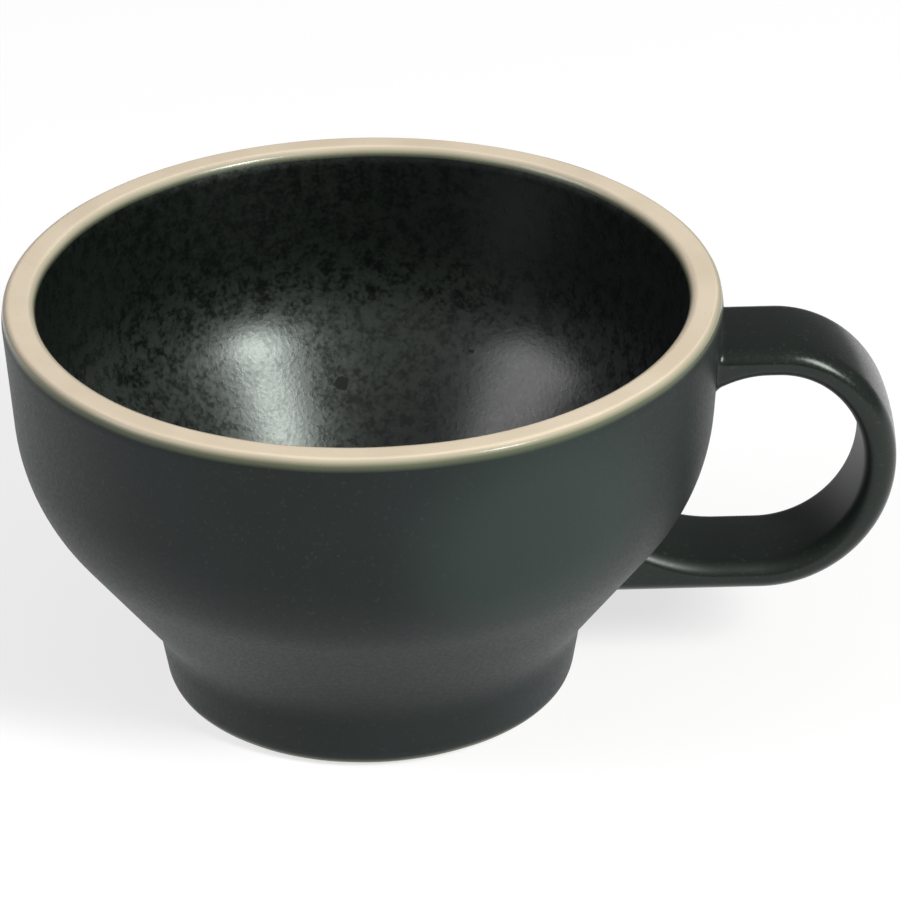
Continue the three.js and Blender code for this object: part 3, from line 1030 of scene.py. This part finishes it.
class ESPRESSOCUP_OT_buried_clay(bpy.types.Operator):
    """Give the strap's clay and the joints' slip, which the glaze hides, their finishes"""

    bl_idname = "espresso_cup.buried_clay"
    bl_label = "Buried clay"

    def execute(self, context):
        clay = context.scene.espresso_cup.clay
        finishes = {
            "clay_handle": finish_named("clay_finish", clay_finish, clay),
            "upper_joint_slip": finish_named("slip_finish", slip_finish, clay),
            "lower_joint_slip": finish_named("slip_finish", slip_finish, clay),
        }
        for node, material in finishes.items():
            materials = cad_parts[node].data.materials
            materials.clear()
            materials.append(material)
        return {"FINISHED"}


# Stage

SWEEP_RADIUS = 3.0
SWEEP_RISE = 0.9
SWEEP_BEND = 0.8
SWEEP_MIDDLE = 0.05
FLOOR_RINGS = 40
BEND_RINGS = 24
LIGHT_DISTANCE = 0.9
KEY_PLACE = (46, 37)  # azimuth, to the right of the camera's side, and elevation, in degrees
FILL_PLACE = (-78, 31)
KEY_SIZE = (0.24, 0.44)
CORE_SIZE = (0.11, 0.24)
FILL_SIZE = (0.5, 0.5)
KEY_TINT = (1.0, 1.0, 0.98)
FILL_TINT = (1.0, 0.90, 0.98)
GLOW_FADE = (0.30, 0.85)
FAR_GLOW = 0.2  # share of the floor's glow that is left far from the cup
SKY_SIDE = (0.0, -0.8, 0.6)
SKY_SPAN = (-0.6, 0.9)
SENSOR_WIDTH = 36.0
CLIP_START = 0.01
CLIP_END = 50.0


def direction(azimuth, elevation):
    """Unit vector towards an azimuth, right of the camera's side, and an elevation, both in degrees."""
    a, e = math.radians(azimuth), math.radians(elevation)
    return Vector((math.sin(a) * math.cos(e), -math.cos(a) * math.cos(e), math.sin(e)))


def softbox(name, place, size, power, tint):
    """A rectangular area light that faces the cup from an azimuth and an elevation."""
    towards = direction(*place)
    light = bpy.data.lights.new(name, "AREA")
    light.shape = "RECTANGLE"
    light.size, light.size_y = size
    light.energy = power
    light.color = tint
    lamp = bpy.data.objects.new(name, light)
    lamp.location = towards * LIGHT_DISTANCE
    lamp.rotation_euler = towards.to_track_quat("Z", "Y").to_euler()
    lamp.visible_camera = False
    bpy.context.scene.collection.objects.link(lamp)


def sweep(stage):
    """A level round floor that bends up at its edge into a low backdrop: an outline turned about the axis.

    It is matt, and it glows only for the rays that show a background, so it looks white and keeps a shadow.
    """
    level = np.linspace(SWEEP_MIDDLE, SWEEP_RADIUS, FLOOR_RINGS)
    bend = np.linspace(0, math.pi / 2, BEND_RINGS)[1:]
    radius = np.concatenate([level, SWEEP_RADIUS + SWEEP_BEND * np.sin(bend)])[:, None]
    height = np.concatenate([0 * level, SWEEP_RISE * (1 - np.cos(bend))])[:, None]
    angles = turn_angles()[None, :]
    points = np.stack([radius * np.cos(angles), radius * np.sin(angles), height + 0 * angles], axis=-1)
    rows, columns = points.shape[:2]
    vertices = np.concatenate([points.reshape(-1, 3), np.zeros((1, 3))])
    faces = grid_faces(rows, columns, False).tolist()
    faces += pole_faces(np.arange(columns), rows * columns, True).tolist()
    mesh = bpy.data.meshes.new("sweep")
    mesh.from_pydata(vertices.tolist(), [], [face[::-1] for face in faces])
    mesh.polygons.foreach_set("use_smooth", np.ones(len(mesh.polygons), dtype=bool))
    mesh.materials.append(floor_finish(stage))
    floor = bpy.data.objects.new("sweep", mesh)
    bpy.context.scene.collection.objects.link(floor)


def floor_finish(stage):
    """Matt floor colour plus a glow that only camera, glossy and transmission rays see.

    The glow fades far from the cup.
    """
    finish = Finish("floor_finish")
    away = finish.node("ShaderNodeVectorMath", {0: finish.place}, operation="LENGTH").outputs["Value"]
    glow = finish.span(away, *GLOW_FADE, stage.floor_glow, stage.floor_glow * FAR_GLOW)
    path = finish.node("ShaderNodeLightPath").outputs
    seen = finish.math("MAXIMUM", path["Is Camera Ray"], path["Is Glossy Ray"])
    seen = finish.math("MAXIMUM", seen, path["Is Transmission Ray"])
    finish.set(
        Base_Color=tuple(stage.floor_colour),
        Roughness=1.0,
        Emission_Color=(1.0, 1.0, 1.0),
        Emission_Strength=finish.math("MULTIPLY", seen, glow),
        Specular_IOR_Level=0.0,
    )
    return finish.material


def sky(stage):
    """Soft light from all round, strongest above the camera's side and faint from behind the cup."""
    world = bpy.data.worlds.new("soft_sky")
    world.use_nodes = True
    nodes, links = world.node_tree.nodes, world.node_tree.links
    towards = nodes.new("ShaderNodeVectorMath")
    towards.operation = "DOT_PRODUCT"
    towards.inputs[1].default_value = SKY_SIDE
    links.new(nodes.new("ShaderNodeTexCoord").outputs["Generated"], towards.inputs[0])
    strength = nodes.new("ShaderNodeMapRange")
    strength.interpolation_type = "SMOOTHSTEP"
    strength.inputs["From Min"].default_value, strength.inputs["From Max"].default_value = SKY_SPAN
    strength.inputs["To Min"].default_value = stage.back_sky
    strength.inputs["To Max"].default_value = stage.front_sky
    links.new(towards.outputs["Value"], strength.inputs["Value"])
    background = nodes["Background"]
    background.inputs["Color"].default_value = (1.0, 1.0, 1.0, 1.0)
    links.new(strength.outputs["Result"], background.inputs["Strength"])
    return world


def camera_matrix(stage):
    """The camera's place and axes, set out at a distance and elevation.

    The axes are then turned by the pitch, the yaw and the roll.
    """
    elevation, pitch = stage.camera_elevation, stage.camera_pitch
    yaw, roll = stage.camera_yaw, stage.camera_roll
    right = Vector((1, 0, 0))
    ahead = Vector((0, math.cos(elevation), -math.sin(elevation)))
    place = Vector((0, 0, stage.camera_aim)) - ahead * stage.camera_distance
    ahead = ahead * math.cos(pitch) + right.cross(ahead) * math.sin(pitch)
    up = right.cross(ahead)
    ahead = ahead * math.cos(yaw) + right * math.sin(yaw)
    right = ahead.cross(up)
    right = right * math.cos(roll) + up * math.sin(roll)
    up = right.cross(ahead)
    return Matrix.Translation(place) @ Matrix((right, up, -ahead)).transposed().to_4x4()


class ESPRESSOCUP_OT_stage(bpy.types.Operator):
    """Set the floor, the lights, the sky and the camera"""

    bl_idname = "espresso_cup.stage"
    bl_label = "Stage"

    def execute(self, context):
        scene = context.scene
        stage = scene.espresso_cup.stage
        sweep(stage)
        softbox("key_softbox", KEY_PLACE, KEY_SIZE, stage.key_power, KEY_TINT)
        softbox("key_core", KEY_PLACE, CORE_SIZE, stage.core_power, KEY_TINT)
        softbox("fill_softbox", FILL_PLACE, FILL_SIZE, stage.fill_power, FILL_TINT)
        scene.world = sky(stage)
        data = bpy.data.cameras.new("camera")
        data.sensor_width = SENSOR_WIDTH
        data.lens = stage.focal_length
        data.clip_start = CLIP_START
        data.clip_end = CLIP_END
        camera = bpy.data.objects.new("camera", data)
        camera.matrix_world = camera_matrix(stage)
        scene.collection.objects.link(camera)
        scene.camera = camera
        scene.view_settings.view_transform = "Standard"
        return {"FINISHED"}


class ESPRESSOCUP_PT_sidebar(bpy.types.Panel):
    """Lists the cup's operators and settings"""

    bl_idname = "ESPRESSOCUP_PT_sidebar"
    bl_label = "Espresso cup"
    bl_space_type = "VIEW_3D"
    bl_region_type = "UI"
    bl_category = "Cup"

    def draw(self, context):
        for operator in OPERATORS:
            self.layout.operator(operator.bl_idname)
        settings = context.scene.espresso_cup
        for group in CupSettings.__annotations__:
            box = self.layout.box()
            box.label(text=group.capitalize())
            values = getattr(settings, group)
            for name in type(values).__annotations__:
                box.prop(values, name)


OPERATORS = (
    ESPRESSOCUP_OT_clay_bowl,
    ESPRESSOCUP_OT_glaze_coats,
    ESPRESSOCUP_OT_handle,
    ESPRESSOCUP_OT_buried_clay,
    ESPRESSOCUP_OT_stage,
)
GROUPS = (BowlSizes, HandleSizes, GlazeSettings, ClaySettings, StageSettings, CupSettings)
CLASSES = (*GROUPS, *OPERATORS, ESPRESSOCUP_PT_sidebar)


def register():
    """Registers the classes and hangs the settings on the scene."""
    for cls in CLASSES:
        bpy.utils.register_class(cls)
    bpy.types.Scene.espresso_cup = bpy.props.PointerProperty(type=CupSettings)


def unregister():
    """Takes the settings and the classes away again."""
    del bpy.types.Scene.espresso_cup
    for cls in reversed(CLASSES):
        bpy.utils.unregister_class(cls)


def main():
    """Builds the cup and its stage."""
    register()
    bpy.ops.espresso_cup.clay_bowl()
    bpy.ops.espresso_cup.glaze_coats()
    bpy.ops.espresso_cup.handle()
    bpy.ops.espresso_cup.buried_clay()
    bpy.ops.espresso_cup.stage()


if __name__ == "__main__":
    main()
